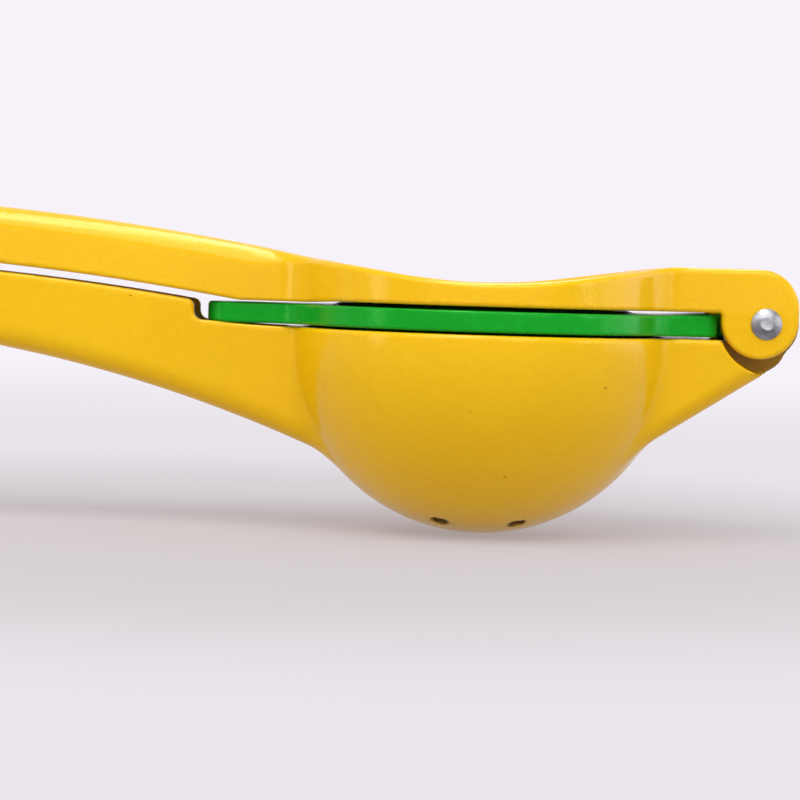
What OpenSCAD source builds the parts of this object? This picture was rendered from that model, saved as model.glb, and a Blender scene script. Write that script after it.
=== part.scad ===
// Hinged two-in-one citrus squeezer: a lemon bowl on the lower handle, a lime
// cup that swings between the handles, and a press on the upper handle, all
// three cast in aluminium and held by one rivet.
// Millimetres. +X runs from the handle ends to the hinge, +Y along the rivet
// and +Z up. The origin is on the ground under the middle of the tool.

/* [Lemon bowl] */
// Outer radius of the lemon bowl
bowl_r = 40; // [37:0.5:44]
// Wall of the lemon bowl
bowl_wall = 3; // [2.4:0.1:4]
// Height of the bowl's rim above the centre of its sphere
rim_h = 1.8; // [1:0.1:4]
// Bevel on the bowl's lip
lip_bevel = 0.6; // [0.3:0.1:0.9]
// Diameter of the drain holes in both bowls
drain_d = 3.2; // [2:0.1:4.5]
// Radius of the ring of drain holes in the lemon bowl
bowl_drain_r = 15.5; // [12:0.5:20]
// Drain holes in each ring
drain_count = 6; // [4:1:8]

/* [Lime cup] */
// Outer radius of the lime cup
cup_r = 30; // [28:0.5:32]
// Wall of the lime cup
cup_wall = 2.6; // [2:0.1:3.4]
// Thickness of the lime cup's flange, tab and arm
flange_t = 4.2; // [3:0.1:5]
// How far the flange's edge stays inside the bowl's edge
flange_inset = 0.6; // [0.2:0.1:1.5]
// Fillet under the flange, round the cup
flange_fillet = 1.8; // [0.8:0.1:2.2]
// Radius of the ring of drain holes in the lime cup
cup_drain_r = 10.5; // [8:0.5:14]
// Distance that the thumb tab sticks out of the bowl's edge
tab_len = 16.7; // [12:0.1:18]
// Width of the thumb tab
tab_w = 20; // [16:0.5:21]
// Rounding of the thumb tab's corners, seen from above
tab_round = 5; // [2:0.5:7]

/* [Press] */
// Outer radius of the press dome
press_r = 23; // [20:0.5:24]
// Wall of the press dome and of the plate round it
press_wall = 3; // [2.4:0.1:3.6]
// Lowest height of the press's rim above its underside
press_rim_h = 4.7; // [4.3:0.1:6]
// Width of the press's rim
press_rim_w = 3; // [2.4:0.1:5]
// Radius of the sag in the top of the rim, from handle to hinge
saddle_r = 125; // [110:1:160]
// Distance from the middle at which the sag runs out straight
saddle_half = 20; // [15:0.5:25]

/* [Handles] */
// Length of the handles outside the bowl's edge
handle_len = 115; // [95:1:130]
// Width of both handles
handle_w = 22; // [20:0.5:25]
// Height of the upper handle
grip_h = 11.6; // [10:0.1:14]
// Height of the lower handle near its end
low_grip_h = 12.9; // [11:0.1:16]
// Gap between the handles when the tool is shut
handle_gap = 1.6; // [1:0.1:3]
// Bend radius of the upper handle, at its underside
bend_r = 607.4; // [560:0.2:660]
// Bend radius of the lower handle's underside
low_bend_r = 291; // [280:1:310]
// Distance from the bowl's edge to where the upper handle starts to rise
lift_x = 12.8; // [10:0.1:16]
// Distance from the handle ends to where they run level
level_x = 7; // [7:0.5:12]
// Side walls of the handle channels
channel_side = 2.8; // [2.2:0.1:3.6]
// Web of the handle channels
channel_web = 3; // [2.4:0.1:3.8]
// Rounding of the upper handle's outer edges
grip_round = 4.5; // [3:0.1:5.5]
// Rounding of the lower handle's outer edges
low_grip_round = 5; // [3:0.1:6]
// Rounding of the handle ends, seen from above
end_round = 9; // [6:0.5:9.5]
// Diameter of the hanging hole through both handles
hang_d = 6; // [4:0.5:8]
// Distance from the handle ends to the hanging hole
hang_x = 9; // [8:0.5:14]
// Fillet between the handles and the round bodies
handle_fillet = 6; // [3:0.5:9]

/* [Thumb tab recess] */
// Distance from the tab's end to the step in the lower handle
step_gap = 2.8; // [2:0.1:6]
// Rise of the recess from the bowl's rim to the step
shelf_rise = 0.5; // [0.1:0.05:0.5]
// Fillet at the foot of the step
step_fillet = 2; // [1:0.1:2.4]

/* [Hinge] */
// Distance from the bowl's edge to the rivet
pin_x_out = 16.6; // [16:0.1:20]
// Height of the rivet above the bowl's rim
pin_rise = 3.5; // [3:0.1:4]
// Diameter of the rivet's shank
pin_d = 4.5; // [3.6:0.1:5]
// Radial clearance of the rivet in the leaves that turn on it
pin_play = 0.06; // [0.03:0.01:0.1]
// Radial clearance of the rivet in the ears that it is headed over
ear_play = 0.02; // [0.01:0.01:0.03]
// Diameter of the rivet's heads
head_d = 6.5; // [6:0.1:7.5]
// Height of the rivet's heads
head_h = 1.3; // [1:0.1:1.8]
// Gap between a rivet head and its ear
head_gap = 0.03; // [0.01:0.01:0.05]
// Width of the lime cup's knuckle
cup_knuckle_w = 12.4; // [10:0.2:14]
// Thickness of each knuckle on the lemon bowl
knuckle_t = 5.2; // [4:0.1:6]
// Thickness of each ear on the press
ear_t = 5; // [4:0.1:6]
// Side gap between neighbouring leaves
leaf_gap = 0.3; // [0.25:0.05:0.5]
// Radius of the lemon bowl's knuckles
knuckle_r = 7.4; // [6.8:0.1:7.9]
// Radius of the lime cup's knuckle
cup_knuckle_r = 7.8; // [6.8:0.1:8]
// Radius of the ears' rounded ends
ear_r = 7.8; // [7.6:0.1:8.2]
// Distance of the ears' centre from the rivet, towards the bowl
ear_back = 1.2; // [1:0.1:1.6]
// Height of the ears' lower centre above the rivet
ear_lift = 0.7; // [0.6:0.1:1.4]
// Room left round the rivet for the ears to turn in
ear_room = 9.8; // [9.7:0.1:10.5]
// Height of the press's neck between plate and ears
neck_h = 9; // [8:0.1:10]
// Distance from the rivet to the sloping underside of the lemon bowl's neck
neck_drop = 8; // [7.9:0.1:8.6]
// Slope of the lemon bowl's neck under the hinge in degrees
neck_slope = 32.5; // [30:0.5:36]
// Rounding of the press neck's upper edges
neck_round = 2.2; // [1:0.1:3]
// Rounding of the lemon bowl neck's lower edges
low_neck_round = 3.5; // [2:0.1:5]
// Fillet between the hinge necks and the round bodies
neck_fillet = 5; // [3:0.5:7]

/* [Fit] */
// Gap between the lemon bowl and the lime cup when the tool is shut
bowl_gap = 0.5; // [0.4:0.05:1.2]
// Gap between the lime cup and the press when the tool is shut
press_gap = 0.8; // [0.6:0.05:1.2]

/* [Hidden] */
$fn = 96;
bend_fn = 1440;
far = 200;
reach = bowl_r + handle_len;
cup_z = rim_h + bowl_gap;
press_z = cup_z + flange_t + press_gap;
flange_r = bowl_r - flange_inset;
handle_half = handle_w / 2;
cup_leaf = cup_knuckle_w / 2;
low_leaf_in = cup_leaf + leaf_gap;
low_leaf_out = low_leaf_in + knuckle_t;
ear_in = low_leaf_out + leaf_gap;
hinge_half = ear_in + ear_t;
pin_x = bowl_r + pin_x_out;
pin_z = rim_h + pin_rise;
pin_r = pin_d / 2;
ear_x = pin_x - ear_back;
neck_top = press_z + neck_h;
leaf_r = max(knuckle_r, cup_knuckle_r);
front_x = max(ear_x + ear_r, pin_x + leaf_r);
// Centres of the bends, as [x, z]
level_at = level_x - reach;
bend_c = [level_at, press_z - sqrt(pow(bend_r, 2) - pow(level_at + bowl_r + lift_x, 2))];
low_top_r = bend_r - handle_gap;
low_bend_c = [level_at, bend_c.y + low_top_r - low_grip_h - low_bend_r];
step_x = -bowl_r - tab_len - step_gap;
turn_gap = 0.4;
// Slope of the rim beyond its sag in degrees, half a degree less than where the sag ends
rim_slope = asin(saddle_half / saddle_r) - 0.5;
// Amount by which the flares at the bowl stay inside the undersides
flare_inside = 0.1;
// Depth by which the round fillets bite into the bowl and the bars
fillet_bite = 0.02;

// Puts the squeezer on the ground, with the origin under its middle
module placed()
    translate([(reach - front_x) / 2, 0, bowl_r])
        children();

// Child outline in x and z, drawn through the whole width
module across(half = far)
    rotate([90, 0, 0])
        linear_extrude(2 * half, center = true)
            children();

// Child outline in y and z, drawn along x from x0 to x1
module along(x0, x1)
    translate([x0, 0, 0])
        rotate([90, 0, 90])
            linear_extrude(x1 - x0)
                children();

// Child outline of radius and width, swept about a cross axis at c
module bend(c, half_angle = 14)
    translate([c.x, 0, c.y])
        rotate([0, half_angle - 90, 0])
            rotate([90, 0, 0])
                rotate_extrude(angle = 2 * half_angle, $fn = bend_fn)
                    children();

// Cylinder along y, from y0 to y1, on the rivet's axis
module on_pin(r, y0, y1)
    translate([pin_x, y1, pin_z])
        rotate([90, 0, 0])
            cylinder(r = r, h = y1 - y0);

// Rectangle from one corner to the other, with round corners
module soft_rect(a, b, r) {
    translate([a.x + r, a.y])
        square([b.x - a.x - 2 * r, b.y - a.y]);
    translate([a.x, a.y + r])
        square([b.x - a.x, b.y - a.y - 2 * r]);
    for (x = [a.x + r, b.x - r], y = [a.y + r, b.y - r])
        translate([x, y])
            circle(r);
}

// Corner of radius r at the origin, filled up to its fillet
module corner_fill(r)
    difference() {
        square(r);
        translate([r, r])
            circle(r);
    }

// Distance of a fillet's centre along a strip that leaves a circle
function fillet_x(r, half, f) = sqrt(pow(r + f, 2) - pow(half + f, 2));

// Webs that fillet a strip along x into a circle of radius r
module plan_fillets(r, half, f)
    for (side = [0, 1])
        mirror([0, side])
            difference() {
                polygon([[0, 0], [fillet_x(r, half, f), 0], [fillet_x(r, half, f), half + f]]);
                translate([fillet_x(r, half, f), half + f])
                    circle(f);
            }

// The same webs turned about the cross axis, so that they fillet the strip's
// flat sides into a ball of radius r
module ball_fillets(r, half, f)
    rotate([90, 0, 0])
        rotate_extrude()
            intersection() {
                plan_fillets(r - fillet_bite, half - fillet_bite, f);
                translate([0, -far])
                    square([far, 2 * far]);
            }

// Half of a ball below the origin, with a straight wall above it
module cup_profile(r, top)
    union() {
        intersection() {
            circle(r);
            translate([0, -r])
                square(r);
        }
        square([r, top]);
    }

// Ring of vertical drain holes with one in the middle
module drains(ring_r, depth) {
    for (i = [0 : drain_count - 1])
        rotate(360 * (i + 0.5) / drain_count + 90)
            translate([ring_r, 0, -depth])
                cylinder(d = drain_d, h = depth);
    translate([0, 0, -depth])
        cylinder(d = drain_d, h = depth);
}

// Outline of the handles from above, from the end to the middle of the bowl
module handle_plan(inset = 0)
    intersection() {
        soft_rect([inset - reach, inset - handle_half], [0, handle_half - inset], end_round - inset);
        translate([-far, -far])
            square([far - end_round, 2 * far]);
    }

module hang_hole()
    translate([hang_x - reach, 0, -far])
        cylinder(d = hang_d, h = 2 * far);

// ---- Lemon bowl with the lower handle ----

// Solid ball cut off at the rim, with its lip bevelled
module bowl_ball()
    rotate_extrude()
        intersection() {
            circle(bowl_r);
            polygon([
                [0, -bowl_r],
                [bowl_r, -bowl_r],
                [bowl_r, rim_h - lip_bevel],
                [bowl_r - lip_bevel, rim_h],
                [0, rim_h]
            ]);
        }

// Solid bar along the lower handle, much higher than the handle
module low_bar(half, round, inside = 0)
    bend(low_bend_c, 26)
        soft_rect([low_bend_r + inside, -half], [low_bend_r + 2 * bowl_r, half], round);

module lower_handle()
    difference() {
        intersection() {
            union() {
                intersection() {
                    low_bar(handle_half, low_grip_round);
                    translate([0, 0, -far])
                        linear_extrude(2 * far)
                            handle_plan();
                }
                intersection() {
                    low_bar(handle_half + handle_fillet, handle_fillet + low_grip_round, flare_inside);
                    mirror([1, 0, 0])
                        ball_fillets(bowl_r, handle_half, handle_fillet);
                    translate([-far, -far, -far])
                        cube([far, 2 * far, far + rim_h]);
                }
            }
            bend(bend_c)
                translate([low_top_r - far, -far])
                    square([far, 2 * far]);
        }
        lower_channel();
    }

// Hollow of the lower handle, open upwards as far as the bowl
module lower_channel()
    intersection() {
        bend(low_bend_c, 26)
            soft_rect([low_bend_r + channel_web, channel_side - handle_half],
                      [low_bend_r + 2 * bowl_r, handle_half - channel_side], 2);
        translate([0, 0, -far])
            linear_extrude(2 * far)
                intersection() {
                    handle_plan(channel_side);
                    translate([-far, -far])
                        square([far - bowl_r - 1, 2 * far]);
                }
    }

// Space over the shelf where the thumb tab lies
module tab_recess()
    across()
        difference() {
            polygon([
                [0, rim_h],
                [-bowl_r, rim_h],
                [step_x + 2 * step_fillet, rim_h + shelf_rise],
                [step_x, rim_h + shelf_rise],
                [step_x, far],
                [0, far]
            ]);
            translate([step_x, rim_h + shelf_rise])
                corner_fill(step_fillet);
        }

// Bar that slopes from under the rivet down to the bowl
module sloped_bar(half, round, inside = 0)
    translate([pin_x, 0, pin_z])
        rotate([0, -neck_slope, 0])
            along(-bowl_r, 0)
                soft_rect([-half, inside - neck_drop], [half, bowl_r], round);

module lower_neck()
    difference() {
        intersection() {
            union() {
                sloped_bar(hinge_half, low_neck_round);
                intersection() {
                    sloped_bar(hinge_half + neck_fillet, low_neck_round + neck_fillet, flare_inside);
                    ball_fillets(bowl_r, hinge_half, neck_fillet);
                }
            }
            translate([0, -far, -far])
                cube([far, 2 * far, far + rim_h]);
        }
        for (side = [0, 1])
            mirror([0, side, 0])
                on_pin(ear_room, low_leaf_out, far);
    }

module lower_knuckles()
    for (side = [0, 1])
        mirror([0, side, 0])
            on_pin(knuckle_r, low_leaf_in, low_leaf_out);

module lemon_bowl_casting()
    color("gold")
        placed()
            difference() {
                union() {
                    bowl_ball();
                    difference() {
                        lower_handle();
                        tab_recess();
                    }
                    difference() {
                        lower_neck();
                        on_pin(cup_knuckle_r + turn_gap, -low_leaf_in, low_leaf_in);
                    }
                    lower_knuckles();
                }
                rotate_extrude()
                    cup_profile(bowl_r - bowl_wall, far);
                drains(bowl_drain_r, bowl_r);
                on_pin(pin_r + pin_play, -far, far);
                hang_hole();
            }

// ---- Lime cup with its flange, thumb tab and knuckle ----

// Flange, thumb tab and arm from above
module cup_plate_plan() {
    circle(flange_r);
    plan_fillets(flange_r, hinge_half, neck_fillet);
    soft_rect([0, -hinge_half], [pin_x - ear_room - turn_gap / 2, hinge_half], neck_fillet);
    translate([0, -cup_leaf])
        square([pin_x, cup_knuckle_w]);
    mirror([1, 0]) {
        soft_rect([0, -tab_w / 2], [bowl_r + tab_len, tab_w / 2], tab_round);
        plan_fillets(flange_r, tab_w / 2, handle_fillet);
    }
}

module cup_solid() {
    translate([0, 0, cup_z]) {
        rotate_extrude() {
            cup_profile(cup_r, flange_t);
            translate([cup_r, 0])
                mirror([0, 1])
                    flange_web();
        }
        linear_extrude(flange_t)
            cup_plate_plan();
    }
    on_pin(cup_knuckle_r, -cup_leaf, cup_leaf);
}

// Fillet between the cup and its flange, with its root inside the cup
module flange_web() {
    corner_fill(flange_fillet);
    translate([-cup_wall / 2, 0])
        square([cup_wall / 2, flange_fillet]);
}

module lime_cup_casting()
    color("limegreen")
        placed()
            difference() {
                cup_solid();
                translate([0, 0, cup_z]) {
                    rotate_extrude()
                        cup_profile(cup_r - cup_wall, far);
                    drains(cup_drain_r, cup_r + 1);
                }
                on_pin(pin_r + pin_play, -far, far);
            }

// ---- Press with the upper handle ----

module upper_handle()
    difference() {
        intersection() {
            bend(bend_c)
                intersection() {
                    soft_rect([bend_r - grip_h, -handle_half], [bend_r + grip_h, handle_half], grip_round);
                    translate([bend_r, -far])
                        square([far, 2 * far]);
                }
            translate([0, 0, press_z])
                linear_extrude(far)
                    handle_plan();
        }
        intersection() {
            bend(bend_c)
                soft_rect([bend_r - grip_h, channel_side - handle_half],
                          [bend_r + grip_h - channel_web, handle_half - channel_side], 2);
            translate([0, 0, -far])
                linear_extrude(2 * far)
                    intersection() {
                        handle_plan(channel_side);
                        translate([-far, -far])
                            square([far - bowl_r - 1, 2 * far]);
                    }
        }
    }

// Round body of the press and its fillets, under the sagging rim
module press_body()
    intersection() {
        translate([0, 0, press_z])
            linear_extrude(neck_h) {
                circle(flange_r);
                plan_fillets(flange_r, hinge_half, neck_fillet);
                mirror([1, 0])
                    plan_fillets(flange_r, handle_half, handle_fillet);
            }
        across()
            difference() {
                translate([-far, 0])
                    square([2 * far, far]);
                above_rim();
            }
    }

// Outline from the side of what lies over the rim: a sag between two straight slopes
module above_rim()
    translate([0, press_z + press_rim_h + saddle_r]) {
        circle(saddle_r, $fn = bend_fn);
        for (side = [0, 1])
            mirror([side, 0])
                translate([saddle_half, -sqrt(pow(saddle_r, 2) - pow(saddle_half, 2))])
                    rotate(rim_slope)
                        translate([-1, 0])
                            square([far, saddle_half]);
    }

// Neck and ears from the side
module ear_outline() {
    for (z = [pin_z + ear_lift, neck_top - ear_r])
        translate([ear_x, z])
            circle(ear_r);
    translate([ear_x - ear_r, pin_z + ear_lift])
        square([2 * ear_r, neck_top - ear_r - pin_z - ear_lift]);
    translate([0, press_z])
        square([ear_x, neck_h]);
}

module press_neck()
    difference() {
        intersection() {
            across()
                ear_outline();
            along(0, far)
                soft_rect([-hinge_half, -bowl_r], [hinge_half, neck_top], neck_round);
        }
        translate([pin_x - leaf_r - 2 * leaf_gap, -ear_in, -far])
            cube([far, 2 * ear_in, 2 * far]);
        translate([0, -ear_in, -far])
            cube([far, 2 * ear_in, far + press_z]);
    }

// Dish in the top of the press, with a rounded shoulder over the dome
module press_dish()
    translate([0, 0, press_z])
        rotate_extrude() {
            cup_profile(press_r - press_wall, press_wall + 1);
            translate([press_r - press_wall, press_wall])
                mirror([0, 1])
                    corner_fill(press_wall);
            difference() {
                translate([0, press_wall])
                    square([flange_r - press_rim_w, far]);
                translate([flange_r - press_rim_w, press_wall])
                    mirror([1, 0])
                        corner_fill(1);
            }
        }

module press_casting()
    color("gold")
        placed()
            difference() {
                union() {
                    upper_handle();
                    press_body();
                    press_neck();
                    translate([0, 0, press_z])
                        rotate_extrude()
                            cup_profile(press_r, press_wall);
                }
                press_dish();
                on_pin(pin_r + ear_play, -far, far);
                hang_hole();
            }

// ---- Rivet ----

module hinge_rivet()
    color("silver")
        placed() {
            on_pin(pin_r, -hinge_half - head_gap, hinge_half + head_gap);
            for (side = [0, 1])
                mirror([0, side, 0])
                    translate([pin_x, hinge_half + head_gap, pin_z])
                        rotate([-90, 0, 0])
                            rivet_head();
        }

// Domed head: a ball cut off by the plane of the ear
module rivet_head() {
    ball_r = (pow(head_d / 2, 2) + pow(head_h, 2)) / (2 * head_h);
    rotate_extrude()
        intersection() {
            translate([0, head_h - ball_r])
                circle(ball_r);
            square([head_d, head_h]);
        }
}

lemon_bowl_casting();
lime_cup_casting();
press_casting();
hinge_rivet();
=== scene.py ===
import math

import bpy
import numpy as np
from mathutils import Matrix, Vector


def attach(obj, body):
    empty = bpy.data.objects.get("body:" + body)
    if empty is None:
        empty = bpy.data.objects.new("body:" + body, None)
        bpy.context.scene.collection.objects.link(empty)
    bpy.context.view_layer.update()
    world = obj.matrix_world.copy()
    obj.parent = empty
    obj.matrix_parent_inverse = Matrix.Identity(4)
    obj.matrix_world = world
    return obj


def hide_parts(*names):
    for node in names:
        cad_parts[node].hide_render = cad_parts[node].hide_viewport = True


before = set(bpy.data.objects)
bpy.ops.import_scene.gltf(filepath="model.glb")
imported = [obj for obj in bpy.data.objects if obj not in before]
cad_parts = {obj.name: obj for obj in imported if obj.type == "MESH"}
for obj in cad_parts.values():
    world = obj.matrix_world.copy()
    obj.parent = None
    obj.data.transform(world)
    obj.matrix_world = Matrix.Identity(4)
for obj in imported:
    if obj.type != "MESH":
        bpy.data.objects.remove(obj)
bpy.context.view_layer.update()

# ---- Sizes in millimetres that the solids have too ----
# Shapes are worked out in the bowl's frame: its origin is the centre of the lemon bowl's ball,
# +x runs to the hinge, +y along the rivet and +z up.
ORIGIN = np.array([45.3, 0.0, 40.0])  # the bowl frame's origin in the row frame

# lemon bowl
BOWL_R = 40.0
BOWL_WALL = 3.0
RIM_H = 1.8  # height of the rim over the ball's centre
BOWL_RING = 15.5  # radius of the ring of drain holes
DRAIN_COUNT = 6  # holes in the ring of either bowl
DRAIN_R = 1.6

# lime cup
CUP_Z = 2.3  # underside of the flange
CUP_R = 30.0
CUP_WALL = 2.6
CUP_RING = 10.5  # radius of the ring of drain holes
FLANGE_T = 4.2
FLANGE_R = 39.4
TAB_END = -56.7
TAB_HALF = 10.0
TAB_ROUND = 5.0

# press
PRESS_Z = 7.3  # underside of the plate
PRESS_R = 23.0
PRESS_WALL = 3.0
PRESS_RIM_H = 4.7
PRESS_RIM_W = 3.0
SADDLE_R = 125.0  # the sag of the rim
SADDLE_HALF = 20.0
RIM_SLOPE = math.tan(math.asin(SADDLE_HALF / SADDLE_R) - math.radians(0.5))

# handles
REACH = 155.0  # from the ball's centre to the handles' ends
HANDLE_HALF = 11.0
HANDLE_GAP = 1.6
END_ROUND = 9.0
GRIP_H = 11.6
LOW_GRIP_H = 12.9
CHANNEL_SIDE = 2.8
CHANNEL_WEB = 3.0
HANG_X = -146.0
HANG_R = 3.0
BEND_R = 607.4  # bend of the upper handle's underside
BEND_X = -148.0
BEND_Z = -592.6
LOW_TOP_R = BEND_R - HANDLE_GAP
LOW_BEND_R = 291.0  # bend of the lower handle's underside
LOW_BEND_Z = BEND_Z + LOW_TOP_R - LOW_GRIP_H - LOW_BEND_R

# hinge: the leaves' faces are given as distances from the middle
PIN_X = 56.6
PIN_Z = 5.3
PIN_R = 2.25
PIN_PLAY = 0.06
EAR_PLAY = 0.02
CUP_LEAF = 6.2
LOW_IN = 6.5
LOW_OUT = 11.7
EAR_IN = 12.0
HINGE_HALF = 17.0
KNUCKLE_R = 7.4
CUP_KNUCKLE_R = 7.8
EAR_R = 7.8
EAR_X = 55.4
EAR_LIFT = 0.7
TURN_GAP = 0.4
NECK_TOP = 16.3
HEAD_H = 1.3
HEAD_GAP = 0.03

# ---- Sizes of the skin: its roundings, and what differs a little from the solids ----
DRAFT = 0.04  # slope of the castings' sides, away from where the levers part
DRAFT_DEPTH = 25.0  # depth over which it runs
SHARP = 0.1  # rounding of an edge that stays crisp
HIDDEN_EDGE = 1.0  # rounding of an edge that ends up inside the ball
BORE_EDGE = 0.2
DRAIN_EDGE = 0.5
HANG_EDGE = 0.7
LEAF_EDGE = 0.6
CHANNEL_CORNER = 2.0
CHANNEL_END_CORNER = 1.0
CHANNEL_STOP_CORNER = 1.5
CHANNEL_EDGE = 0.9
CHANNEL_STOP = 1.0  # how far from the ball the channels stop

# lemon bowl
CREASE = 2.2  # fillet where the handle and the neck run into the ball
LOW_GRIP_ROUND = 5.0
LOW_END_EDGE = 2.5
HANDLE_DROP = 0.22  # how far the handle's underside lies under the solid's
HANDLE_TOP_FROM = -50.0  # the handle's top line counts beyond this x
HANDLE_TOP_EDGE = 1.0
STEP_X = -59.3  # the step from the handle down to the shelf for the thumb tab
STEP_FOOT = 1.8
SHELF_RISE = 0.8
SHELF_RUN = -BOWL_R - STEP_X - 3.0  # the rise ends 3 mm short of the step
SHELF_EDGE = 0.8  # rounding of the edges of shelf, rim and neck
STEP_SOFTER = 0.5  # how much more the step has
LOW_NECK_ROUND = 3.8
LOW_NECK_DROP = 8.75  # from the pin to the neck's underside
LOW_NECK_SLOPE = math.radians(32.85)
LOW_NECK_PAST = 2.2  # how far the neck runs past the pin
LOW_NECK_END = 5.0
ROOM_X = 57.8  # clearance arc for the ears
ROOM_Z = 5.8
ROOM_R = 10.8
ROOM_CORNER = 0.5
ROOM_EDGE = 0.35
CUP_ROOM_CORNER = 0.3  # clearance for the cup's knuckle
CUP_ROOM_EDGE = 0.5
KNUCKLE_FILLET = 0.6
BOWL_MOUTH_EDGE = 0.9

# lime cup
ARM_TAPER = 1.6  # how much the hinge arm narrows on each side
ARM_LIFT = 0.5  # how much it thickens
ARM_ROUND = 2.5
ARM_FILLET = 5.0
TAB_FILLET = 6.0
FLANGE_EDGE = 0.5
FLANGE_FILLET = 1.8
CUP_LEAF_ROUND = 0.5
CUP_LEAF_FILLET = 1.5
CUP_KNUCKLE_FILLET = 1.2
CUP_MOUTH_EDGE = 1.1

# press
GRIP_FILLET = 6.0
NECK_FILLET = 5.0
NECK_BLEND = 0.7  # height over which the rim's slope levels off into the neck's top
UNDER_EDGE = 0.7
RIM_SOFTER = 0.5  # how much rounder the upper edges are
GRIP_SOFTER = 3.3  # how much rounder still along the grip
UNDER_DROP = 0.4  # how far the underside lies lower over the thumb tab
ARCH_FROM = -45.0  # the handle's bend counts beyond this x
TIP_FROM = 20.0  # the neck's round upper end counts beyond this x
EAR_FILLET = 0.5
KNUCKLE_ROOM = 8.4  # room for the knuckles, from the pin towards the dome
KNUCKLE_ROOM_EDGE = 0.7
EAR_FACE_EDGE = 0.3
DOME_EDGE = 0.5
DOME_FILLET = 1.5
DISH_CORNER = 1.5
DISH_FILLET = 3.0
DISH_EDGE = 1.1

# rivet heads, and each dent's place from the pin in x and z, its radius and its depth
HEAD_R = 3.3
HEAD_EDGE = 0.08
SHANK_IN = 0.1  # how far the shank runs into the heads
DENT_EDGE = 0.12
DENTS = (
    (0.30, -0.35, 3.6, 0.26),
    (-0.90, 0.40, 3.2, 0.24),
    (-0.45, 0.95, 2.6, 0.15),
    (-1.05, -0.35, 2.8, 0.17),
    (-0.30, 0.15, 4.2, 0.24),
)

# stand-ins for "well inside", "well outside" and "beyond every shape"
INSIDE = -9.0
OUTSIDE = 9.0
FAR = 90.0


# ---- Signed distances: negative inside, in millimetres ----
def rmax(a, b, r):
    """Intersection whose edge is rounded to radius r."""
    u = np.maximum(a + r, 0)
    v = np.maximum(b + r, 0)
    return np.minimum(-r, np.maximum(a, b)) + np.sqrt(u * u + v * v)


def rmin(a, b, r):
    """Union with a fillet of radius r."""
    return -rmax(-a, -b, r)


def cut(a, b, r):
    """a without b, with the edge rounded to radius r."""
    return rmax(a, -b, r)


def rrect(u, v, u0, u1, v0, v1, r):
    """Rectangle with round corners."""
    qu = np.abs(u - (u0 + u1) / 2) - (u1 - u0) / 2 + r
    qv = np.abs(v - (v0 + v1) / 2) - (v1 - v0) / 2 + r
    return np.hypot(np.maximum(qu, 0), np.maximum(qv, 0)) + np.minimum(np.maximum(qu, qv), 0) - r


def rise(v, start, end):
    """Soft step from 0 at start to 1 at end, whichever of the two is larger."""
    t = np.clip((v - start) / (end - start), 0, 1)
    return t * t * (3 - 2 * t)


def cup_shape(x, y, z, r):
    """Half a ball under z = 0 with a straight wall above it."""
    zz = np.minimum(z, 0)
    return np.sqrt(x * x + y * y + zz * zz) - r


def drains(x, y, ring):
    """Upright holes on a ring and one in the middle."""
    d = np.hypot(x, y)
    for i in range(DRAIN_COUNT):
        a = math.radians(360 / DRAIN_COUNT * (i + 0.5) + 90)
        d = np.minimum(d, np.hypot(x - ring * math.cos(a), y - ring * math.sin(a)))
    return d - DRAIN_R


def from_pin(x, z):
    """Distance from the rivet's axis."""
    return np.hypot(x - PIN_X, z - PIN_Z)


def leaf(x, y, z, r, y0, y1):
    """Knuckle round the rivet between two distances from the middle, or through it if y0 < 0."""
    ay = np.abs(y)
    return rmax(from_pin(x, z) - r, np.maximum(y0 - ay, ay - y1), LEAF_EDGE)


def end_plan(x, y, inset, r):
    """Outline of the handles from above, open towards the bowl."""
    return rrect(x, y, -REACH + inset, 100.0, -HANDLE_HALF + inset, HANDLE_HALF - inset, r)


# ---- Cuts that more than one casting has ----
def cut_channel(body, x, y, height, low, high):
    """A handle's open channel: it runs between two heights and stops before the ball."""
    wall = HANDLE_HALF - CHANNEL_SIDE
    channel = rrect(height, y, low, high, -wall, wall, CHANNEL_CORNER)
    inner_end = end_plan(x, y, CHANNEL_SIDE, END_ROUND - CHANNEL_SIDE)
    channel = rmax(channel, inner_end, CHANNEL_END_CORNER)
    channel = rmax(channel, x + BOWL_R + CHANNEL_STOP, CHANNEL_STOP_CORNER)
    return cut(body, channel, CHANNEL_EDGE)


def cut_drains(body, x, y, height, ring):
    """Drain holes in the round underside."""
    return cut(body, np.where(height < 0, drains(x, y, ring), OUTSIDE), DRAIN_EDGE)


def cut_hanging_hole(body, x, y):
    """The hole near a handle's end."""
    return cut(body, np.hypot(x - HANG_X, y) - HANG_R, HANG_EDGE)


def cut_bore(body, x, z, play):
    """The rivet's bore."""
    return cut(body, from_pin(x, z) - PIN_R - play, BORE_EDGE)


# ---- Lemon bowl ----
def lower_handle_top(x, z):
    """Height over the lower handle's top line."""
    return np.hypot(x - BEND_X, z - BEND_Z) - LOW_TOP_R


def lower_handle_height(x, z):
    """Height over the lower handle's underside, as the solid has it."""
    return np.hypot(x - BEND_X, z - LOW_BEND_Z) - LOW_BEND_R


def lower_handle(x, y, z):
    """Bar from the handle's end into the ball; its top is cut later."""
    side = np.abs(y) + DRAFT * np.clip(-lower_handle_top(x, z), 0, DRAFT_DEPTH)
    height = lower_handle_height(x, z)
    bar = rrect(height, side, -HANDLE_DROP, FAR, -HANDLE_HALF, HANDLE_HALF, LOW_GRIP_ROUND)
    bar = rmax(bar, end_plan(x, y, 0.0, END_ROUND), LOW_END_EDGE)
    return rmax(bar, x + BOWL_R / 2, HIDDEN_EDGE)


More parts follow.
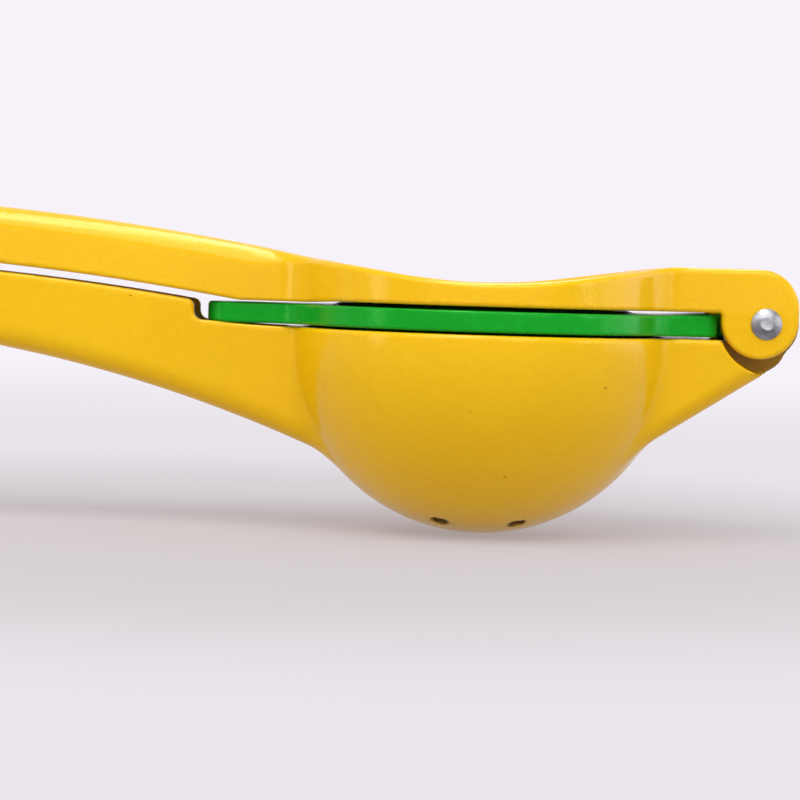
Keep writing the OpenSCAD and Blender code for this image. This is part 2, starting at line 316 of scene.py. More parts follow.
def lower_neck(x, y, z):
    """Bar that slopes up from inside the ball to just past the pin; its top is cut later."""
    c, s = math.cos(LOW_NECK_SLOPE), math.sin(LOW_NECK_SLOPE)
    across = -(x - PIN_X) * s + (z - PIN_Z) * c
    along = (x - PIN_X) * c + (z - PIN_Z) * s
    side = np.abs(y) + DRAFT * np.clip(RIM_H - z, 0, DRAFT_DEPTH)
    bar = rrect(across, side, -LOW_NECK_DROP, 60.0, -HINGE_HALF, HINGE_HALF, LOW_NECK_ROUND)
    bar = rmax(bar, along - LOW_NECK_PAST, LOW_NECK_END)
    return rmax(bar, -along - BOWL_R, HIDDEN_EDGE)


def cut_tops(body, x, z):
    """The handle's top line, the step, and the level top of shelf, rim and neck."""
    top = np.where(x < HANDLE_TOP_FROM, lower_handle_top(x, z), INSIDE)
    body = rmax(body, top, HANDLE_TOP_EDGE)
    shelf = RIM_H + SHELF_RISE * np.clip((-BOWL_R - x) / SHELF_RUN, 0, 1) ** 2
    room = rmax(STEP_X - x, shelf - z, STEP_FOOT)
    edge = SHELF_EDGE + STEP_SOFTER * rise(z - shelf, 0.8, 2.3)
    return cut(body, room, edge)


def cut_hinge_room(body, x, y, z):
    """Clearance for the ears outside the knuckles and for the cup's knuckle between them."""
    ears = np.hypot(x - ROOM_X, z - ROOM_Z) - ROOM_R
    body = cut(body, rmax(ears, LOW_OUT - np.abs(y), ROOM_CORNER), ROOM_EDGE)
    middle = from_pin(x, z) - CUP_KNUCKLE_R - TURN_GAP
    return cut(body, rmax(middle, np.abs(y) - LOW_IN, CUP_ROOM_CORNER), CUP_ROOM_EDGE)


def lemon_bowl(x, y, z):
    """The bowl with its handle, shelf, neck and two knuckles."""
    body = np.sqrt(x * x + y * y + z * z) - BOWL_R
    body = rmin(body, lower_handle(x, y, z), CREASE)
    body = rmin(body, lower_neck(x, y, z), CREASE)
    body = cut_tops(body, x, z)
    body = cut_channel(body, x, y, lower_handle_height(x, z), CHANNEL_WEB, FAR)
    body = cut(body, cup_shape(x, y, z, BOWL_R - BOWL_WALL), BOWL_MOUTH_EDGE)
    body = cut_hinge_room(body, x, y, z)
    body = rmin(body, leaf(x, y, z, KNUCKLE_R, LOW_IN, LOW_OUT), KNUCKLE_FILLET)
    body = cut_drains(body, x, y, z, BOWL_RING)
    body = cut_hanging_hole(body, x, y)
    return cut_bore(body, x, z, PIN_PLAY)


# ---- Lime cup ----
def lime_plan(x, y, near):
    """Flange, hinge arm, thumb tab and middle leaf from above; near is 1 at the hinge."""
    plan = np.hypot(x, y) - FLANGE_R
    side = np.sign(y) * (np.abs(y) + ARM_TAPER * near)
    arm = rrect(x, side, 0.0, EAR_X - EAR_R - TURN_GAP, -HINGE_HALF, HINGE_HALF, ARM_ROUND)
    plan = rmin(plan, arm, ARM_FILLET)
    tab = rrect(x, y, TAB_END, 0.0, -TAB_HALF, TAB_HALF, TAB_ROUND)
    plan = rmin(plan, tab, TAB_FILLET)
    middle = rrect(x, y, 0.0, PIN_X, -CUP_LEAF, CUP_LEAF, CUP_LEAF_ROUND)
    return rmin(plan, middle, CUP_LEAF_FILLET)


def lime_cup(x, y, z):
    """The cup with its flange, thumb tab, hinge arm and middle knuckle."""
    height = z - CUP_Z
    near = rise(x, 35.0, 47.0)
    half = (FLANGE_T + ARM_LIFT * near) / 2
    plate = rmax(lime_plan(x, y, near), np.abs(height - half) - half, FLANGE_EDGE)
    cup = rmax(cup_shape(x, y, height, CUP_R), height - FLANGE_T, FLANGE_EDGE)
    body = rmin(plate, cup, FLANGE_FILLET)
    knuckle = leaf(x, y, z, CUP_KNUCKLE_R, -1.0, CUP_LEAF)
    body = np.minimum(body, rmin(body, knuckle, CUP_KNUCKLE_FILLET))
    body = cut(body, cup_shape(x, y, height, CUP_R - CUP_WALL), CUP_MOUTH_EDGE)
    body = cut_drains(body, x, y, height, CUP_RING)
    return cut_bore(body, x, z, PIN_PLAY)


# ---- Press ----
def press_top(x):
    """The top line: a sag between straight slopes, the handle at one end and the neck at the other."""
    run = np.minimum(np.abs(x), SADDLE_HALF)
    sag = SADDLE_R - np.sqrt(SADDLE_R ** 2 - run ** 2)
    rim = PRESS_Z + PRESS_RIM_H + sag + RIM_SLOPE * (np.abs(x) - run)
    grip = BEND_Z + np.sqrt((BEND_R + GRIP_H) ** 2 - (x - BEND_X) ** 2)
    # the lower of rim and neck, with a soft change from one to the other
    share = np.clip(0.5 + (NECK_TOP - rim) / NECK_BLEND, 0, 1)
    neck = NECK_TOP + (rim - NECK_TOP) * share - NECK_BLEND / 2 * share * (1 - share)
    return np.where(x < 0, rim + (grip - rim) * rise(x, -34, -46), neck)


def press_plan(x, y, height):
    """From above: a round plate with the handle's and the neck's strips filleted into it."""
    plan = np.hypot(x, y) - FLANGE_R
    grip = rmax(end_plan(x, y, 0.0, END_ROUND), x, SHARP)
    plan = rmin(plan, grip, GRIP_FILLET)
    neck = rmax(np.abs(y) - HINGE_HALF, -x, SHARP)
    return rmin(plan, neck, NECK_FILLET) + DRAFT * np.clip(height, 0, DRAFT_DEPTH)


def press_side(x, z, arch):
    """From the side: under the top line, over a flat base that follows the handle's bend."""
    top = (z - press_top(x)) * 0.985  # nearly a true distance where the line slopes
    base = PRESS_Z - z - UNDER_DROP * rise(x, -28, -38)
    base = np.where(x < ARCH_FROM, rmax(base, -arch, SHARP), base)
    side = rmax(top, base, SHARP)
    ear_z = PIN_Z + EAR_LIFT
    ears = np.minimum(
        np.hypot(x - EAR_X, z - ear_z) - EAR_R,
        rrect(x, z, EAR_X - EAR_R, EAR_X + EAR_R, ear_z, NECK_TOP, 0.01),
    )
    tip = rrect(x, z, -400.0, EAR_X + EAR_R, -60.0, NECK_TOP, EAR_R)
    return rmax(rmin(side, ears, EAR_FILLET), np.where(x > TIP_FROM, tip, INSIDE), SHARP)


def press_edge(x, z, arch):
    """Edge radius: softest along the top of the grip, crisp along the underside."""
    upper = rise(z - PRESS_Z, 2.5, 4.5)
    upper = np.where(x < ARCH_FROM, rise(arch, 3.0, 6.0), upper)
    return UNDER_EDGE + upper * (RIM_SOFTER + GRIP_SOFTER * rise(x, -33.0, -49.0))


def cut_dish(body, x, y, height):
    """The hollow of the dome and the wider dish inside the rim."""
    hollow = cup_shape(x, y, height, PRESS_R - PRESS_WALL)
    dish = rmax(np.hypot(x, y) - FLANGE_R + PRESS_RIM_W, PRESS_WALL - height, DISH_CORNER)
    return cut(body, rmin(hollow, dish, DISH_FILLET), DISH_EDGE)


def press(x, y, z):
    """The press with its dome, dish, handle, neck and two ears."""
    height = z - PRESS_Z
    arch = np.hypot(x - BEND_X, z - BEND_Z) - BEND_R
    body = rmax(press_plan(x, y, height), press_side(x, z, arch), press_edge(x, z, arch))
    between_ears = np.abs(y) - EAR_IN
    body = cut(body, np.maximum(PIN_X - KNUCKLE_ROOM - x, between_ears), KNUCKLE_ROOM_EDGE)
    body = cut(body, np.maximum(np.maximum(-x, height), between_ears), EAR_FACE_EDGE)
    dome = rmax(cup_shape(x, y, height, PRESS_R), height - PRESS_WALL, DOME_EDGE)
    body = rmin(body, dome, DOME_FILLET)
    body = cut_dish(body, x, y, height)
    body = cut_channel(body, x, y, arch, -GRIP_H, GRIP_H - CHANNEL_WEB)
    body = cut_hanging_hole(body, x, y)
    return cut_bore(body, x, z, EAR_PLAY)


# ---- Rivet ----
def head_cap(x, y, z):
    """The round cap of a rivet head before the dents."""
    ball = (HEAD_R ** 2 + HEAD_H ** 2) / (2 * HEAD_H)
    up = np.abs(y) - HINGE_HALF - HEAD_GAP + ball - HEAD_H
    return np.sqrt((x - PIN_X) ** 2 + (z - PIN_Z) ** 2 + up * up) - ball


def rivet(x, y, z):
    """The shank with a dented head at both ends."""
    ay = np.abs(y) - HINGE_HALF - HEAD_GAP
    head = rmax(head_cap(x, y, z), -ay, HEAD_EDGE)
    for dx, dz, r, depth in DENTS:
        up = ay - HEAD_H - r + depth
        ball = np.sqrt((x - PIN_X - dx) ** 2 + (z - PIN_Z - dz) ** 2 + up ** 2) - r
        head = cut(head, ball, DENT_EDGE)
    shank = rmax(from_pin(x, z) - PIN_R, ay - SHANK_IN, 0.05)
    return np.minimum(head, shank)


# ---- Painted shade and wear: a share from 0 to 1 at each point of a mesh, for the materials: painted shade in the castings' holes and pockets, wear on the rivet's dents ----
# painted shade: the drain holes' walls are darkened where shade falls inside them
def drain_painted_shade(x, y, z, ring, below):
    """Painted shade: 1 on the walls of the drain holes, which all lie below a height."""
    return rise(np.abs(drains(x, y, ring)), 0.5, 0.1) * (z < below)


def bowl_painted_shade(x, y, z):
    """Painted shade: inside the drain holes and deep in the hinge pockets under the ears."""
    holes = drain_painted_shade(x, y, z, BOWL_RING, -20.0)
    # painted shade deep in the hinge pockets, where the ears shade them
    depth = rise(np.abs(y), HINGE_HALF - 1.2, HINGE_HALF - 4.2) * (np.abs(y) > LOW_OUT - 0.7)
    pocket = rise(np.hypot(x - ROOM_X, z - ROOM_Z), ROOM_R + 0.3, ROOM_R - 0.5)
    return np.maximum(holes, 0.75 * depth * pocket)


def cup_painted_shade(x, y, z):
    """Painted shade inside the drain holes."""
    return drain_painted_shade(x, y, z, CUP_RING, -10.0)


def rivet_marks(x, y, z):
    """Worn, brighter metal: the floors of the dents."""
    return rise(head_cap(x, y, z), 0.0, -0.09) * (np.abs(y) > HINGE_HALF + HEAD_GAP + 0.3)


# ---- Meshing: surface nets on a sparse grid, with the points drawn onto the true surface ----
BLOCK = 8  # cells along each side of a block of the grid
BATCH = 1200  # blocks that are worked out together
DRAW_STEPS = 3
NET_RING = ((-1, -1), (0, -1), (0, 0), (-1, 0))  # the four cells round an edge of the grid


def near_blocks(f, axes, h):
    """Which blocks the surface may cross, and the sign of f in the middle of each."""
    middles = (v.reshape(-1, BLOCK).mean(axis=1) for v in axes)
    gx, gy, gz = np.meshgrid(*middles, indexing="ij")
    centre = f(gx.ravel(), gy.ravel(), gz.ravel()).reshape(gx.shape)
    half = (BLOCK - 1) / 2 * h
    # half a block's diagonal, and a margin because the distances aren't quite true
    reach = half * math.sqrt(3) * 1.25 + h * 1.5
    return np.abs(centre) < reach, np.sign(centre)


def grid_values(f, lo, hi, h):
    """f on a grid that is symmetrical in y, worked out only in blocks that the surface may cross."""
    nx, ny, nz = (
        int(math.ceil(length / h / BLOCK)) * BLOCK
        for length in (hi[0] - lo[0], hi[1], hi[2] - lo[2])
    )
    xs = lo[0] + h * np.arange(nx)
    ys = h * (np.arange(ny) + 0.5)
    zs = lo[2] + h * np.arange(nz)
    near, values = near_blocks(f, (xs, ys, zs), h)
    values = values * OUTSIDE
    for axis in range(3):
        values = np.repeat(values, BLOCK, axis)
    blocks = np.argwhere(near)
    cells = np.arange(BLOCK)
    for part in np.array_split(blocks, max(1, len(blocks) // BATCH)):
        i, j, k = (part[:, axis, None] * BLOCK + cells for axis in range(3))
        shape = (len(part), BLOCK, BLOCK, BLOCK)
        px = np.broadcast_to(xs[i][:, :, None, None], shape)
        py = np.broadcast_to(ys[j][:, None, :, None], shape)
        pz = np.broadcast_to(zs[k][:, None, None, :], shape)
        v = f(px.ravel(), py.ravel(), pz.ravel()).reshape(shape)
        values[i[:, :, None, None], j[:, None, :, None], k[:, None, None, :]] = v
    both = np.concatenate([values[:, ::-1], values], axis=1)
    return both, np.array([xs[0], -ys[-1], zs[0]])


def cell_points(v):
    """Cells that the surface crosses, each with the mean of its crossings in cell units."""
    inside = v < 0
    n = np.array(v.shape) - 1
    total = np.zeros(tuple(n) + (3,), np.float32)
    count = np.zeros(tuple(n), np.float32)
    corners = [(i, j, k) for i in (0, 1) for j in (0, 1) for k in (0, 1)]
    for a in corners:
        for axis in range(3):
            if a[axis]:
                continue
            c = list(a)
            c[axis] = 1
            sa = tuple(slice(a[d], a[d] + n[d]) for d in range(3))
            sc = tuple(slice(c[d], c[d] + n[d]) for d in range(3))
            cross = inside[sa] != inside[sc]
            va, vc = v[sa][cross], v[sc][cross]
            t = va / (va - vc)
            for d in range(3):
                total[..., d][cross] += t if d == axis else a[d]
            count[cross] += 1
    active = count > 0
    cells = np.argwhere(active)
    return cells, cells + total[active] / count[active][:, None]


def net_quads(v, cells):
    """One quad for each edge of the grid that the surface crosses, facing outwards."""
    inside = v < 0
    n = np.array(v.shape) - 1
    index = np.full(tuple(n), -1, np.int64)
    index[tuple(cells.T)] = np.arange(len(cells))
    quads = []
    for axis in range(3):
        u, w = [(1, 2), (2, 0), (0, 1)][axis]
        size = list(v.shape)
        size[axis] -= 1
        s0 = tuple(slice(0, size[d]) for d in range(3))
        s1 = tuple(slice(1, size[d] + 1) if d == axis else slice(0, size[d]) for d in range(3))
        cross = np.argwhere(inside[s0] != inside[s1])
        within = (cross[:, u] > 0) & (cross[:, w] > 0) & (cross[:, u] < n[u]) & (cross[:, w] < n[w])
        cross = cross[within]
        ring = []
        for du, dw in NET_RING:
            c = cross.copy()
            c[:, u] += du
            c[:, w] += dw
            ring.append(index[tuple(c.T)])
        ring = np.stack(ring, axis=1)
        flip = ~inside[tuple(cross.T)]
        ring[flip] = ring[flip][:, ::-1]
        quads.append(ring)
    quads = np.concatenate(quads)
    return quads[(quads >= 0).all(axis=1)]


def gradient(f, p, e=0.02):
    """Slope of f at each point, from central differences."""
    g = np.empty_like(p)
    for a in range(3):
        d = np.zeros(3)
        d[a] = e
        hi, lo = p + d, p - d
        g[:, a] = (f(*hi.T) - f(*lo.T)) / (2 * e)
    return g


def draw_onto(f, points, h):
    """Points moved onto the surface f = 0, by at most half a cell a step."""
    for _ in range(DRAW_STEPS):
        g = gradient(f, points)
        step = f(*points.T)[:, None] * g / np.maximum((g * g).sum(axis=1), 0.25)[:, None]
        size = np.linalg.norm(step, axis=1)[:, None]
        points = points - step * np.minimum(1, 0.5 * h / np.maximum(size, 1e-9))
    return points


def nets(f, lo, hi, h):
    """Points, quads and normals of the surface f = 0."""
    v, start = grid_values(f, lo, hi, h)
    cells, places = cell_points(v)
    points = draw_onto(f, start + places * h, h)
    g = gradient(f, points)
    normals = g / np.maximum(np.linalg.norm(g, axis=1), 1e-6)[:, None]
    return points, net_quads(v, cells), normals


def link(name, data):
    """New object in the scene."""
    ob = bpy.data.objects.new(name, data)
    bpy.context.scene.collection.objects.link(ob)
    return ob


def casting(name, f, lo, hi, h, shade_and_wear=None):
    """Object with the surface f = 0; lo and hi bound its half with y over 0, h is the cell size."""
    points, quads, normals = nets(f, lo, hi, h)
    co = (points + ORIGIN) / 1000
    me = bpy.data.meshes.new(name)
    me.vertices.add(len(co))
    me.vertices.foreach_set("co", co.astype(np.float32).ravel())
    me.loops.add(quads.size)
    me.loops.foreach_set("vertex_index", quads.astype(np.int32).ravel())
    me.polygons.add(len(quads))
    me.polygons.foreach_set("loop_start", np.arange(0, quads.size, 4, dtype=np.int32))
    me.polygons.foreach_set("use_smooth", np.ones(len(quads), bool))
    me.update(calc_edges=True)
    me.validate()
    # painted shade on the castings and wear on the rivet, kept as a point attribute
    if shade_and_wear:
        share = me.attributes.new("shade_and_wear", "FLOAT", "POINT")
        share.data.foreach_set("value", shade_and_wear(*points.T).astype(np.float32))
    if len(me.vertices) == len(normals):
        me.normals_split_custom_set_from_vertices(normals.astype(np.float32))
    return link(name, me)


# ---- Nodes ----
def node(tree, kind, **values):
    """New node; each value goes to the input of its name, or else to the node itself."""
    n = tree.nodes.new(kind)
    for key, value in values.items():
        if key in n.inputs:
            n.inputs[key].default_value = value
        else:
            setattr(n, key, value)
    return n


def new_material(name):
    """Material with its node tree and principled shader."""
    material = bpy.data.materials.new(name)
    material.use_nodes = True
    tree = material.node_tree
    return material, tree, tree.nodes["Principled BSDF"]


def object_place(tree):
    """Coordinates fixed to the piece, in metres."""
    return node(tree, "ShaderNodeTexCoord").outputs["Object"]


def shade_and_wear_share(tree):
    """The mesh's share of painted shade on the castings and of wear on the rivet."""
    return node(tree, "ShaderNodeAttribute", attribute_name="shade_and_wear").outputs["Fac"]


def split_axes(tree, where):
    """Outputs X, Y and Z of a vector."""
    n = node(tree, "ShaderNodeSeparateXYZ")
    tree.links.new(where, n.inputs["Vector"])
    return n.outputs


def noise(tree, where, scale, detail=2.0, rough=0.5):
    """Soft noise round 0.5."""
    n = node(tree, "ShaderNodeTexNoise", Scale=scale, Detail=detail, Roughness=rough)
    tree.links.new(where, n.inputs["Vector"])
    return n.outputs["Fac"]


def bump(tree, height, strength, distance, under=None, sunk=False):
    """Bump, raised or sunk, on top of the normal under it."""
    n = node(tree, "ShaderNodeBump", Strength=strength, Distance=distance)
    n.invert = sunk
    tree.links.new(height, n.inputs["Height"])
    if under:
        tree.links.new(under, n.inputs["Normal"])
    return n.outputs["Normal"]


def remap(tree, value, reach=(0.0, 1.0), to=(0.0, 1.0), kind="LINEAR"):
    """Value mapped from one reach to another, and kept within it."""
    n = node(tree, "ShaderNodeMapRange", interpolation_type=kind)
    n.inputs["From Min"].default_value, n.inputs["From Max"].default_value = reach
    n.inputs["To Min"].default_value, n.inputs["To Max"].default_value = to
    tree.links.new(value, n.inputs["Value"])
    return n.outputs["Result"]


def arithmetic(tree, operation, a, b):
    """Math node of an output and either a number or a second output."""
    n = node(tree, "ShaderNodeMath", operation=operation)
    tree.links.new(a, n.inputs[0])
    if isinstance(b, float):
        n.inputs[1].default_value = b
    else:
        tree.links.new(b, n.inputs[1])
    return n.outputs["Value"]


def ramp(tree, share, stops, kind="LINEAR"):
    """Colour ramp through (position, colour) stops."""
    n = node(tree, "ShaderNodeValToRGB")
    n.color_ramp.interpolation = kind
    e = n.color_ramp.elements
    e[0].position, e[0].color = stops[0]
    e[1].position, e[1].color = stops[-1]
    for pos, colour in stops[1:-1]:
        e.new(pos).color = colour
    tree.links.new(share, n.inputs["Fac"])
    return n.outputs["Color"]


def laid_over(tree, share, under, colour):
    """A colour laid over another by a share."""
    n = node(tree, "ShaderNodeMix", data_type="RGBA")
    n.inputs["B"].default_value = colour
    tree.links.new(share, n.inputs["Factor"])
    tree.links.new(under, n.inputs["A"])
    return n.outputs["Result"]


def blend(tree, share, a, b):
    """Mix of two values, with a fixed share of the second."""
    n = node(tree, "ShaderNodeMix", data_type="FLOAT")
    n.inputs["Factor"].default_value = share
    tree.links.new(a, n.inputs["A"])
    tree.links.new(b, n.inputs["B"])
    return n.outputs["Result"]


# ---- Materials: colours are linear, scales are in cells a metre, distances in metres ----
SPECK_SCALE = 260.0
SPECK_REACH = (0.05, 0.10)  # distances from its middle over which a speck fades, in cells
SPECK_RARITY = 0.90  # share of the cells that have none
SPECK_SHARE = 0.55  # how far a speck goes to its dark colour
SPECK_DARK = (0.35, 0.3, 0.3)  # shares of the deep colour's red, green and blue
# colour of the painted shade in drain holes and hinge pockets, as shares of the deep colour's channels
PAINTED_SHADE_DARK = (0.14, 0.10, 0.3)
PIT_STRENGTH = 0.5
PIT_DEPTH = 0.0003

# waviness and two scales of orange peel: the noise's scale and detail, then strength and distance
ENAMEL_BUMPS = (
    (55.0, 1.0, 0.30, 0.0008),
    (420.0, 2.0, 0.14, 0.0002),
    (1300.0, 2.0, 0.45, 0.0001),
)
ENAMEL_ROUGHNESS = (0.10, 0.19)
ENAMEL_IOR = 1.43

METAL_TONE = ((0.3, (0.15, 0.15, 0.17, 1)), (0.7, (0.42, 0.42, 0.45, 1)))
METAL_WORN = (0.50, 0.50, 0.53, 1)
METAL_ROUGHNESS = (0.28, 0.46)
SCRATCH_TURN = (0, 0.6, 0)
SCRATCH_SCALE = (350.0, 350.0, 3200.0)

# deep and base shade of each coat, and the tint of its gloss
YELLOW = ((0.81, 0.455, 0.001, 1), (0.85, 0.495, 0.002, 1), (1.0, 0.85, 0.55, 1))
GREEN = ((0.005, 0.30, 0.014, 1), (0.007, 0.34, 0.020, 1), (0.25, 1.0, 0.3, 1))


def darker(colour, shares):
    """Opaque colour with a share of each channel."""
    return tuple(channel * share for channel, share in zip(colour, shares)) + (1,)


def specks(tree, where):
    """1 in small round specks, in few of the cells of a fine Voronoi pattern."""
    cells = node(tree, "ShaderNodeTexVoronoi", Scale=SPECK_SCALE)
    tree.links.new(where, cells.inputs["Vector"])
    near = remap(tree, cells.outputs["Distance"], SPECK_REACH, (1.0, 0.0))
    split = node(tree, "ShaderNodeSeparateColor")
    tree.links.new(cells.outputs["Color"], split.inputs["Color"])
    pick = arithmetic(tree, "GREATER_THAN", split.outputs["Red"], SPECK_RARITY)
    return arithmetic(tree, "MULTIPLY", near, pick)


def coat_colour(tree, where, speck, deep, base):
    """Shade drift between two shades, with specks, and painted shade in holes and pockets by the mesh's
    share.
    """
    broad = noise(tree, where, 28.0, 3.0)
    fine = noise(tree, where, 650.0, 3.0, 0.6)
    coat = ramp(tree, blend(tree, 0.45, broad, fine), ((0.38, deep), (0.62, base)))
    faint = arithmetic(tree, "MULTIPLY", speck, SPECK_SHARE)
    coat = laid_over(tree, faint, coat, darker(deep, SPECK_DARK))
    # painted shade: darker in the drain holes and hinge pockets
    return laid_over(tree, shade_and_wear_share(tree), coat, darker(deep, PAINTED_SHADE_DARK))


def coat_skin(tree, where, speck):
    """Waviness and orange peel, with a pit at each speck."""
    skin = None
    for scale, detail, strength, distance in ENAMEL_BUMPS:
        skin = bump(tree, noise(tree, where, scale, detail), strength, distance, skin)
    return bump(tree, speck, PIT_STRENGTH, PIT_DEPTH, skin, sunk=True)


def enamel(name, deep, base, tint):
    """Gloss enamel over a casting."""
    material, tree, shader = new_material(name)
    where = object_place(tree)
    speck = specks(tree, where)
    gloss = remap(tree, noise(tree, where, 90.0, 4.0, 0.6), to=ENAMEL_ROUGHNESS)
    tree.links.new(coat_colour(tree, where, speck, deep, base), shader.inputs["Base Color"])
    tree.links.new(coat_skin(tree, where, speck), shader.inputs["Normal"])
    tree.links.new(gloss, shader.inputs["Roughness"])
    shader.inputs["IOR"].default_value = ENAMEL_IOR
    shader.inputs["Specular Tint"].default_value = tint
    return material


def scratches(tree, where):
    """Noise drawn out into fine lines across the head."""
    turn = node(tree, "ShaderNodeMapping")
    turn.inputs["Rotation"].default_value = SCRATCH_TURN
    turn.inputs["Scale"].default_value = SCRATCH_SCALE
    tree.links.new(where, turn.inputs["Vector"])
    return noise(tree, turn.outputs["Vector"], 1.0, 3.0)


def aluminium(name):
    """Peened aluminium: satin, with fine scratches, an uneven skin, and wear by the mesh's share."""
    material, tree, shader = new_material(name)
    where = object_place(tree)
    grain = noise(tree, where, 900.0, 4.0, 0.65)
    tone = ramp(tree, noise(tree, where, 350.0, 3.0), METAL_TONE)
    tone = laid_over(tree, shade_and_wear_share(tree), tone, METAL_WORN)
    skin = bump(tree, scratches(tree, where), 0.7, 0.0001)
    skin = bump(tree, grain, 0.25, 0.00015, skin)
    tree.links.new(tone, shader.inputs["Base Color"])
    tree.links.new(skin, shader.inputs["Normal"])
    tree.links.new(remap(tree, grain, to=METAL_ROUGHNESS), shader.inputs["Roughness"])
    shader.inputs["Metallic"].default_value = 1.0
    return material


metal = aluminium("satin_aluminium")
yellow = enamel("yellow_gloss", *YELLOW)
green = enamel("green_gloss", *GREEN)

# ---- The pieces: each is meshed within a box, in cells of one size, and replaces its CAD node ----
CELL = 0.62
BOWL_CELL = 1.1 * CELL
RIVET_CELL = 0.15
bowl = casting("lemon_bowl_enamel", lemon_bowl, (-157, 0, -42), (66, 42, 27), BOWL_CELL, bowl_painted_shade)
cup = casting("lime_cup_enamel", lime_cup, (-58, 0, -29), (66, 42, 14.5), CELL, cup_painted_shade)
top = casting("press_enamel", press, (-157, 0, -17.5), (66, 42, 28), CELL)
pin = casting("rivet_metal", rivet, (53.2, 0, 1.9), (60.1, 18.5, 8.8), RIVET_CELL, rivet_marks)
for piece, cad, body, slot, material in (
    (bowl, "lemon_bowl_casting", "lemon_bowl", "yellow_enamel", yellow),
    (cup, "lime_cup_casting", "lime_cup", "green_enamel", green),
    (top, "press_casting", "press", "yellow_enamel", yellow),
    (pin, "hinge_rivet", "press", "bare_aluminium", metal),
):
    piece.data.materials.append(material)
    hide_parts(cad)
    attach(piece, body)

# ---- Stage, in metres: white paper that sweeps up all round, dimmer in front of the part, with a painted shadow round it ----
BACK_GLOW = (0.93, 0.89, 0.95, 1)
FRONT_GLOW = (0.60, 0.585, 0.61, 1)
PAPER_GLOW = (
    (0.0, FRONT_GLOW),
    (0.36, (0.74, 0.70, 0.745, 1)),
    (0.60, (0.86, 0.82, 0.875, 1)),
    (1.0, BACK_GLOW),
)
# the paper's tone: darker near the part as a painted shadow, its own tone further out
PAPER_TONE_AND_SHADOW = ((0.0, (0.44, 0.412, 0.42, 1)), (1.0, (0.62, 0.60, 0.625, 1)))
PAPER_SHADOW_REACH = (0.08, 0.28)  # distances from the middle over which the painted shadow round the part gives way to the paper's own tone
PAPER_GLOW_REACH = (-0.70, 1.1)  # distances over which the glow takes over; it has a third at the middle
SKY_TONE = (
    (0.0, (0.06, 0.06, 0.063, 1)),
    (0.3, (0.40, 0.40, 0.41, 1)),
    (0.6, (0.76, 0.745, 0.77, 1)),
    (1.0, BACK_GLOW),
)
FRONT_TO_BACK = (-1.0, 1.0)  # along y


def spread(tree, value, reach):
    """Value mapped smoothly from a reach to 0..1."""
    return remap(tree, value, reach, kind="SMOOTHSTEP")


def paper(name):
    """Matt paper round the part, darker near it as a painted shadow, that gives way to a plain glow
    further out.
    """
    material, tree, shader = new_material(name)
    shader.inputs["Roughness"].default_value = 0.85
    shader.inputs["Specular IOR Level"].default_value = 0.1
    where = object_place(tree)
    length = node(tree, "ShaderNodeVectorMath", operation="LENGTH")
    tree.links.new(where, length.inputs[0])
    distance = length.outputs["Value"]
    # painted shadow: the paper is darker near the part
    tone = ramp(tree, spread(tree, distance, PAPER_SHADOW_REACH), PAPER_TONE_AND_SHADOW, "EASE")
    tree.links.new(tone, shader.inputs["Base Color"])
    depth = spread(tree, split_axes(tree, where)["Y"], FRONT_TO_BACK)
    glow = node(tree, "ShaderNodeEmission")
    tree.links.new(ramp(tree, depth, PAPER_GLOW, "EASE"), glow.inputs["Color"])
    mix = node(tree, "ShaderNodeMixShader")
    tree.links.new(spread(tree, distance, PAPER_GLOW_REACH), mix.inputs["Fac"])
    tree.links.new(shader.outputs["BSDF"], mix.inputs[1])
    tree.links.new(glow.outputs["Emission"], mix.inputs[2])
    tree.links.new(mix.outputs["Shader"], tree.nodes["Material Output"].inputs["Surface"])
    return material


def swept_floor(name, flat, reach, height, steps=24, around=96):
    """Round floor, flat to a radius, that sweeps up by a quarter of an ellipse all round."""
    rows = [(flat * share, 0.0) for share in (0.15, 0.4, 0.7, 1.0)]
    for i in range(1, steps + 1):
        a = math.pi / 2 * i / steps
        rows.append((flat + reach * math.sin(a), height * (1 - math.cos(a))))
    turns = [2 * math.pi * k / around for k in range(around)]
    verts = [(0.0, 0.0, 0.0)]
    for r, z in rows:
        verts += [(r * math.cos(a), r * math.sin(a), z) for a in turns]
    faces = [(0, 1 + k, 1 + (k + 1) % around) for k in range(around)]
    for i in range(len(rows) - 1):
        a, b = 1 + i * around, 1 + (i + 1) * around
        faces += [(a + k, b + k, b + (k + 1) % around, a + (k + 1) % around) for k in range(around)]
    me = bpy.data.meshes.new(name)
    me.from_pydata(verts, [], faces)
    me.polygons.foreach_set("use_smooth", [True] * len(me.polygons))
    return link(name, me)


def studio_world(name):
    """Surroundings that are bright behind the part and dark in front."""
    world = bpy.data.worlds.new(name)
    world.use_nodes = True
    tree = world.node_tree
    axes = split_axes(tree, node(tree, "ShaderNodeTexCoord").outputs["Generated"])
    shade = ramp(tree, spread(tree, axes["Y"], FRONT_TO_BACK), SKY_TONE, "EASE")
    tree.links.new(shade, tree.nodes["Background"].inputs["Color"])
    return world


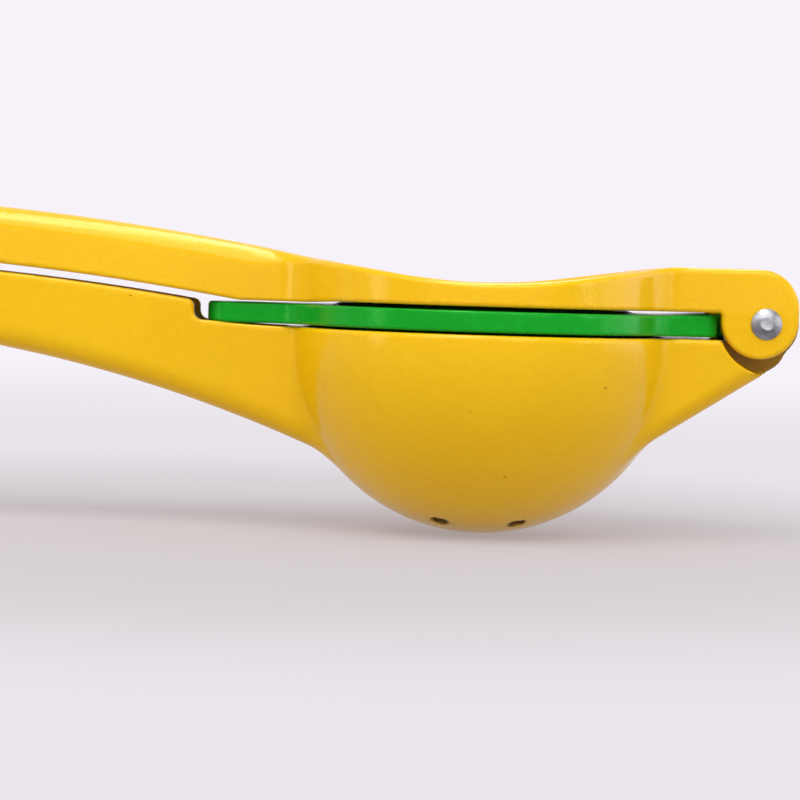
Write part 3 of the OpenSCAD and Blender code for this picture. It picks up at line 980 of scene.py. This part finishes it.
def lamp(name, at, to, size, power):
    """Rectangular lamp that the camera doesn't see."""
    data = bpy.data.lights.new(name, "AREA")
    data.shape = "RECTANGLE"
    data.size, data.size_y = size
    data.energy = power
    ob = link(name, data)
    ob.location = at
    ob.rotation_euler = (Vector(to) - Vector(at)).to_track_quat("-Z", "Y").to_euler()
    ob.visible_camera = False
    return ob


floor = swept_floor("floor", flat=1.6, reach=1.4, height=0.9)
floor.data.materials.append(paper("pale_paper"))
bpy.context.scene.world = studio_world("studio")
bpy.context.scene.view_settings.view_transform = "Standard"

lamp("key", (-0.05, -0.8, 1.1), (0.04, 0, 0.03), (1.8, 1.1), 21.2)
lamp("left_strip", (-1.1, -0.5, 0.35), (0.0, 0, 0.03), (0.25, 0.8), 1.8)
lamp("right_strip", (1.2, -0.6, 0.5), (0.06, 0, 0.03), (0.25, 0.8), 2.2)
# panels that show only as reflections in the enamel and the rivet
for name, at, size, power in (
    ("right_gleam", (1.15, 0.05, 0.30), (0.85, 0.75), 3.2),
    ("top_gleam", (0.0, 0.02, 1.15), (1.6, 0.3), 12.0),
    ("front_gleam", (0.05, -1.2, 0.35), (2.0, 0.5), 3.0),
):
    lamp(name, at, (0.05, 0, 0.04), size, power).visible_diffuse = False

# ---- Camera, fitted to the rivet, the bowl and the handles of the photograph ----
CAMERA_AT = (0.029355, -0.56300, 0.052475)  # in metres
PITCH, YAW, ROLL = -0.04517, -0.00135, 0.03117  # in radians
LENS, SENSOR = 121.988, 36.0  # in millimetres


def photo_camera(name):
    """The camera as the photograph was taken."""
    data = bpy.data.cameras.new(name)
    data.sensor_width = SENSOR
    data.lens = LENS
    data.clip_start, data.clip_end = 0.05, 20
    cam = link(name, data)
    level = math.cos(PITCH)
    ahead = Vector((math.sin(YAW) * level, math.cos(YAW) * level, math.sin(PITCH)))
    flat_right = ahead.cross(Vector((0, 0, 1))).normalized()
    flat_up = flat_right.cross(ahead)
    right = flat_right * math.cos(ROLL) + flat_up * math.sin(ROLL)
    up = flat_up * math.cos(ROLL) - flat_right * math.sin(ROLL)
    cam.rotation_mode = "QUATERNION"
    cam.rotation_quaternion = Matrix((right, up, -ahead)).transposed().to_quaternion()
    cam.location = CAMERA_AT
    return cam


bpy.context.scene.camera = photo_camera("photo_view")
